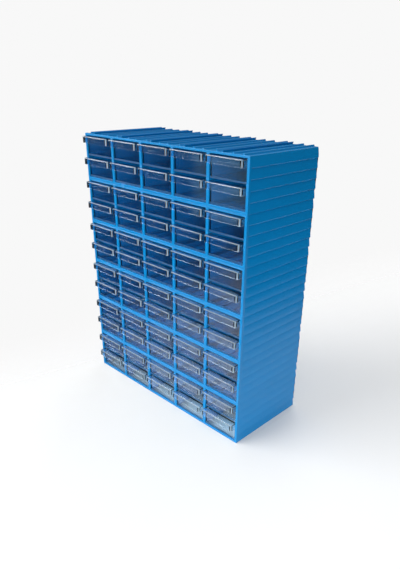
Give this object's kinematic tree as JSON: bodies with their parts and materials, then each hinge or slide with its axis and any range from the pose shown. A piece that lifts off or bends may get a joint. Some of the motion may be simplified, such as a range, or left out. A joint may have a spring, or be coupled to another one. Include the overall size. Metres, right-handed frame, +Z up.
{
  "type": "parts organizer",
  "caption": "Tall free-standing organizer for small parts: stacked ribbed housings with rows of clear pull-out drawers, each with a full-width hooded pull.",
  "frame": {"origin": "on the surface that the organizer stands on, below the middle of its box, pulls included", "axes": "+Z up, -Y towards the user, the way the drawers open, +X to the right seen from the front"},
  "size_m": [0.3028, 0.138, 0.3744],
  "materials": {
    "housing_blue": "injection-moulded polystyrene, satin",
    "crystal_clear": "clear crystal polystyrene, polished"
  },
  "bodies": {
    "housings": {"stacked_housings": "housing_blue"},
    "drawer_row01_col1": {"drawer_row01_col1": "crystal_clear"},
    "drawer_row01_col2": {"drawer_row01_col2": "crystal_clear"},
    "drawer_row01_col3": {"drawer_row01_col3": "crystal_clear"},
    "drawer_row01_col4": {"drawer_row01_col4": "crystal_clear"},
    "drawer_row01_col5": {"drawer_row01_col5": "crystal_clear"},
    "drawer_row02_col1": {"drawer_row02_col1": "crystal_clear"},
    "drawer_row02_col2": {"drawer_row02_col2": "crystal_clear"},
    "drawer_row02_col3": {"drawer_row02_col3": "crystal_clear"},
    "drawer_row02_col4": {"drawer_row02_col4": "crystal_clear"},
    "drawer_row02_col5": {"drawer_row02_col5": "crystal_clear"},
    "drawer_row03_col1": {"drawer_row03_col1": "crystal_clear"},
    "drawer_row03_col2": {"drawer_row03_col2": "crystal_clear"},
    "drawer_row03_col3": {"drawer_row03_col3": "crystal_clear"},
    "drawer_row03_col4": {"drawer_row03_col4": "crystal_clear"},
    "drawer_row03_col5": {"drawer_row03_col5": "crystal_clear"},
    "drawer_row04_col1": {"drawer_row04_col1": "crystal_clear"},
    "drawer_row04_col2": {"drawer_row04_col2": "crystal_clear"},
    "drawer_row04_col3": {"drawer_row04_col3": "crystal_clear"},
    "drawer_row04_col4": {"drawer_row04_col4": "crystal_clear"},
    "drawer_row04_col5": {"drawer_row04_col5": "crystal_clear"},
    "drawer_row05_col1": {"drawer_row05_col1": "crystal_clear"},
    "drawer_row05_col2": {"drawer_row05_col2": "crystal_clear"},
    "drawer_row05_col3": {"drawer_row05_col3": "crystal_clear"},
    "drawer_row05_col4": {"drawer_row05_col4": "crystal_clear"},
    "drawer_row05_col5": {"drawer_row05_col5": "crystal_clear"},
    "drawer_row06_col1": {"drawer_row06_col1": "crystal_clear"},
    "drawer_row06_col2": {"drawer_row06_col2": "crystal_clear"},
    "drawer_row06_col3": {"drawer_row06_col3": "crystal_clear"},
    "drawer_row06_col4": {"drawer_row06_col4": "crystal_clear"},
    "drawer_row06_col5": {"drawer_row06_col5": "crystal_clear"},
    "drawer_row07_col1": {"drawer_row07_col1": "crystal_clear"},
    "drawer_row07_col2": {"drawer_row07_col2": "crystal_clear"},
    "drawer_row07_col3": {"drawer_row07_col3": "crystal_clear"},
    "drawer_row07_col4": {"drawer_row07_col4": "crystal_clear"},
    "drawer_row07_col5": {"drawer_row07_col5": "crystal_clear"},
    "drawer_row08_col1": {"drawer_row08_col1": "crystal_clear"},
    "drawer_row08_col2": {"drawer_row08_col2": "crystal_clear"},
    "drawer_row08_col3": {"drawer_row08_col3": "crystal_clear"},
    "drawer_row08_col4": {"drawer_row08_col4": "crystal_clear"},
    "drawer_row08_col5": {"drawer_row08_col5": "crystal_clear"},
    "drawer_row09_col1": {"drawer_row09_col1": "crystal_clear"},
    "drawer_row09_col2": {"drawer_row09_col2": "crystal_clear"},
    "drawer_row09_col3": {"drawer_row09_col3": "crystal_clear"},
    "drawer_row09_col4": {"drawer_row09_col4": "crystal_clear"},
    "drawer_row09_col5": {"drawer_row09_col5": "crystal_clear"},
    "drawer_row10_col1": {"drawer_row10_col1": "crystal_clear"},
    "drawer_row10_col2": {"drawer_row10_col2": "crystal_clear"},
    "drawer_row10_col3": {"drawer_row10_col3": "crystal_clear"},
    "drawer_row10_col4": {"drawer_row10_col4": "crystal_clear"},
    "drawer_row10_col5": {"drawer_row10_col5": "crystal_clear"},
    "drawer_row11_col1": {"drawer_row11_col1": "crystal_clear"},
    "drawer_row11_col2": {"drawer_row11_col2": "crystal_clear"},
    "drawer_row11_col3": {"drawer_row11_col3": "crystal_clear"},
    "drawer_row11_col4": {"drawer_row11_col4": "crystal_clear"},
    "drawer_row11_col5": {"drawer_row11_col5": "crystal_clear"},
    "drawers_row12_col1_and_col2": {"drawers_row12_col1_and_col2": "crystal_clear"},
    "drawer_row12_col3": {"drawer_row12_col3": "crystal_clear"},
    "drawer_row12_col4": {"drawer_row12_col4": "crystal_clear"},
    "drawer_row12_col5": {"drawer_row12_col5": "crystal_clear"}
  },
  "joints": [
    {"name": "slide_row01_col1", "type": "slide", "parent": "housings", "child": "drawer_row01_col1", "axis": [0, -1, 0], "range_m": [0, 0.1]},
    {"name": "slide_row01_col2", "type": "slide", "parent": "housings", "child": "drawer_row01_col2", "axis": [0, -1, 0], "range_m": [0, 0.1]},
    {"name": "slide_row01_col3", "type": "slide", "parent": "housings", "child": "drawer_row01_col3", "axis": [0, -1, 0], "range_m": [0, 0.1]},
    {"name": "slide_row01_col4", "type": "slide", "parent": "housings", "child": "drawer_row01_col4", "axis": [0, -1, 0], "range_m": [0, 0.1]},
    {"name": "slide_row01_col5", "type": "slide", "parent": "housings", "child": "drawer_row01_col5", "axis": [0, -1, 0], "range_m": [0, 0.1]},
    {"name": "slide_row02_col1", "type": "slide", "parent": "housings", "child": "drawer_row02_col1", "axis": [0, -1, 0], "range_m": [0, 0.1]},
    {"name": "slide_row02_col2", "type": "slide", "parent": "housings", "child": "drawer_row02_col2", "axis": [0, -1, 0], "range_m": [0, 0.1]},
    {"name": "slide_row02_col3", "type": "slide", "parent": "housings", "child": "drawer_row02_col3", "axis": [0, -1, 0], "range_m": [0, 0.1]},
    {"name": "slide_row02_col4", "type": "slide", "parent": "housings", "child": "drawer_row02_col4", "axis": [0, -1, 0], "range_m": [0, 0.1]},
    {"name": "slide_row02_col5", "type": "slide", "parent": "housings", "child": "drawer_row02_col5", "axis": [0, -1, 0], "range_m": [0, 0.1]},
    {"name": "slide_row03_col1", "type": "slide", "parent": "housings", "child": "drawer_row03_col1", "axis": [0, -1, 0], "range_m": [0, 0.1]},
    {"name": "slide_row03_col2", "type": "slide", "parent": "housings", "child": "drawer_row03_col2", "axis": [0, -1, 0], "range_m": [0, 0.1]},
    {"name": "slide_row03_col3", "type": "slide", "parent": "housings", "child": "drawer_row03_col3", "axis": [0, -1, 0], "range_m": [0, 0.1]},
    {"name": "slide_row03_col4", "type": "slide", "parent": "housings", "child": "drawer_row03_col4", "axis": [0, -1, 0], "range_m": [0, 0.1]},
    {"name": "slide_row03_col5", "type": "slide", "parent": "housings", "child": "drawer_row03_col5", "axis": [0, -1, 0], "range_m": [0, 0.1]},
    {"name": "slide_row04_col1", "type": "slide", "parent": "housings", "child": "drawer_row04_col1", "axis": [0, -1, 0], "range_m": [0, 0.1]},
    {"name": "slide_row04_col2", "type": "slide", "parent": "housings", "child": "drawer_row04_col2", "axis": [0, -1, 0], "range_m": [0, 0.1]},
    {"name": "slide_row04_col3", "type": "slide", "parent": "housings", "child": "drawer_row04_col3", "axis": [0, -1, 0], "range_m": [0, 0.1]},
    {"name": "slide_row04_col4", "type": "slide", "parent": "housings", "child": "drawer_row04_col4", "axis": [0, -1, 0], "range_m": [0, 0.1]},
    {"name": "slide_row04_col5", "type": "slide", "parent": "housings", "child": "drawer_row04_col5", "axis": [0, -1, 0], "range_m": [0, 0.1]},
    {"name": "slide_row05_col1", "type": "slide", "parent": "housings", "child": "drawer_row05_col1", "axis": [0, -1, 0], "range_m": [0, 0.1]},
    {"name": "slide_row05_col2", "type": "slide", "parent": "housings", "child": "drawer_row05_col2", "axis": [0, -1, 0], "range_m": [0, 0.1]},
    {"name": "slide_row05_col3", "type": "slide", "parent": "housings", "child": "drawer_row05_col3", "axis": [0, -1, 0], "range_m": [0, 0.1]},
    {"name": "slide_row05_col4", "type": "slide", "parent": "housings", "child": "drawer_row05_col4", "axis": [0, -1, 0], "range_m": [0, 0.1]},
    {"name": "slide_row05_col5", "type": "slide", "parent": "housings", "child": "drawer_row05_col5", "axis": [0, -1, 0], "range_m": [0, 0.1]},
    {"name": "slide_row06_col1", "type": "slide", "parent": "housings", "child": "drawer_row06_col1", "axis": [0, -1, 0], "range_m": [0, 0.1]},
    {"name": "slide_row06_col2", "type": "slide", "parent": "housings", "child": "drawer_row06_col2", "axis": [0, -1, 0], "range_m": [0, 0.1]},
    {"name": "slide_row06_col3", "type": "slide", "parent": "housings", "child": "drawer_row06_col3", "axis": [0, -1, 0], "range_m": [0, 0.1]},
    {"name": "slide_row06_col4", "type": "slide", "parent": "housings", "child": "drawer_row06_col4", "axis": [0, -1, 0], "range_m": [0, 0.1]},
    {"name": "slide_row06_col5", "type": "slide", "parent": "housings", "child": "drawer_row06_col5", "axis": [0, -1, 0], "range_m": [0, 0.1]},
    {"name": "slide_row07_col1", "type": "slide", "parent": "housings", "child": "drawer_row07_col1", "axis": [0, -1, 0], "range_m": [0, 0.1]},
    {"name": "slide_row07_col2", "type": "slide", "parent": "housings", "child": "drawer_row07_col2", "axis": [0, -1, 0], "range_m": [0, 0.1]},
    {"name": "slide_row07_col3", "type": "slide", "parent": "housings", "child": "drawer_row07_col3", "axis": [0, -1, 0], "range_m": [0, 0.1]},
    {"name": "slide_row07_col4", "type": "slide", "parent": "housings", "child": "drawer_row07_col4", "axis": [0, -1, 0], "range_m": [0, 0.1]},
    {"name": "slide_row07_col5", "type": "slide", "parent": "housings", "child": "drawer_row07_col5", "axis": [0, -1, 0], "range_m": [0, 0.1]},
    {"name": "slide_row08_col1", "type": "slide", "parent": "housings", "child": "drawer_row08_col1", "axis": [0, -1, 0], "range_m": [0, 0.1]},
    {"name": "slide_row08_col2", "type": "slide", "parent": "housings", "child": "drawer_row08_col2", "axis": [0, -1, 0], "range_m": [0, 0.1]},
    {"name": "slide_row08_col3", "type": "slide", "parent": "housings", "child": "drawer_row08_col3", "axis": [0, -1, 0], "range_m": [0, 0.1]},
    {"name": "slide_row08_col4", "type": "slide", "parent": "housings", "child": "drawer_row08_col4", "axis": [0, -1, 0], "range_m": [0, 0.1]},
    {"name": "slide_row08_col5", "type": "slide", "parent": "housings", "child": "drawer_row08_col5", "axis": [0, -1, 0], "range_m": [0, 0.1]},
    {"name": "slide_row09_col1", "type": "slide", "parent": "housings", "child": "drawer_row09_col1", "axis": [0, -1, 0], "range_m": [0, 0.1]},
    {"name": "slide_row09_col2", "type": "slide", "parent": "housings", "child": "drawer_row09_col2", "axis": [0, -1, 0], "range_m": [0, 0.1]},
    {"name": "slide_row09_col3", "type": "slide", "parent": "housings", "child": "drawer_row09_col3", "axis": [0, -1, 0], "range_m": [0, 0.1]},
    {"name": "slide_row09_col4", "type": "slide", "parent": "housings", "child": "drawer_row09_col4", "axis": [0, -1, 0], "range_m": [0, 0.1]},
    {"name": "slide_row09_col5", "type": "slide", "parent": "housings", "child": "drawer_row09_col5", "axis": [0, -1, 0], "range_m": [0, 0.1]},
    {"name": "slide_row10_col1", "type": "slide", "parent": "housings", "child": "drawer_row10_col1", "axis": [0, -1, 0], "range_m": [0, 0.1]},
    {"name": "slide_row10_col2", "type": "slide", "parent": "housings", "child": "drawer_row10_col2", "axis": [0, -1, 0], "range_m": [0, 0.1]},
    {"name": "slide_row10_col3", "type": "slide", "parent": "housings", "child": "drawer_row10_col3", "axis": [0, -1, 0], "range_m": [0, 0.1]},
    {"name": "slide_row10_col4", "type": "slide", "parent": "housings", "child": "drawer_row10_col4", "axis": [0, -1, 0], "range_m": [0, 0.1]},
    {"name": "slide_row10_col5", "type": "slide", "parent": "housings", "child": "drawer_row10_col5", "axis": [0, -1, 0], "range_m": [0, 0.1]},
    {"name": "slide_row11_col1", "type": "slide", "parent": "housings", "child": "drawer_row11_col1", "axis": [0, -1, 0], "range_m": [0, 0.1]},
    {"name": "slide_row11_col2", "type": "slide", "parent": "housings", "child": "drawer_row11_col2", "axis": [0, -1, 0], "range_m": [0, 0.1]},
    {"name": "slide_row11_col3", "type": "slide", "parent": "housings", "child": "drawer_row11_col3", "axis": [0, -1, 0], "range_m": [0, 0.1]},
    {"name": "slide_row11_col4", "type": "slide", "parent": "housings", "child": "drawer_row11_col4", "axis": [0, -1, 0], "range_m": [0, 0.1]},
    {"name": "slide_row11_col5", "type": "slide", "parent": "housings", "child": "drawer_row11_col5", "axis": [0, -1, 0], "range_m": [0, 0.1]},
    {"name": "slide_row12_col1_and_col2", "type": "slide", "parent": "housings", "child": "drawers_row12_col1_and_col2", "axis": [0, -1, 0], "range_m": [0, 0.1]},
    {"name": "slide_row12_col3", "type": "slide", "parent": "housings", "child": "drawer_row12_col3", "axis": [0, -1, 0], "range_m": [0, 0.1]},
    {"name": "slide_row12_col4", "type": "slide", "parent": "housings", "child": "drawer_row12_col4", "axis": [0, -1, 0], "range_m": [0, 0.1]},
    {"name": "slide_row12_col5", "type": "slide", "parent": "housings", "child": "drawer_row12_col5", "axis": [0, -1, 0], "range_m": [0, 0.1]}
  ]
}
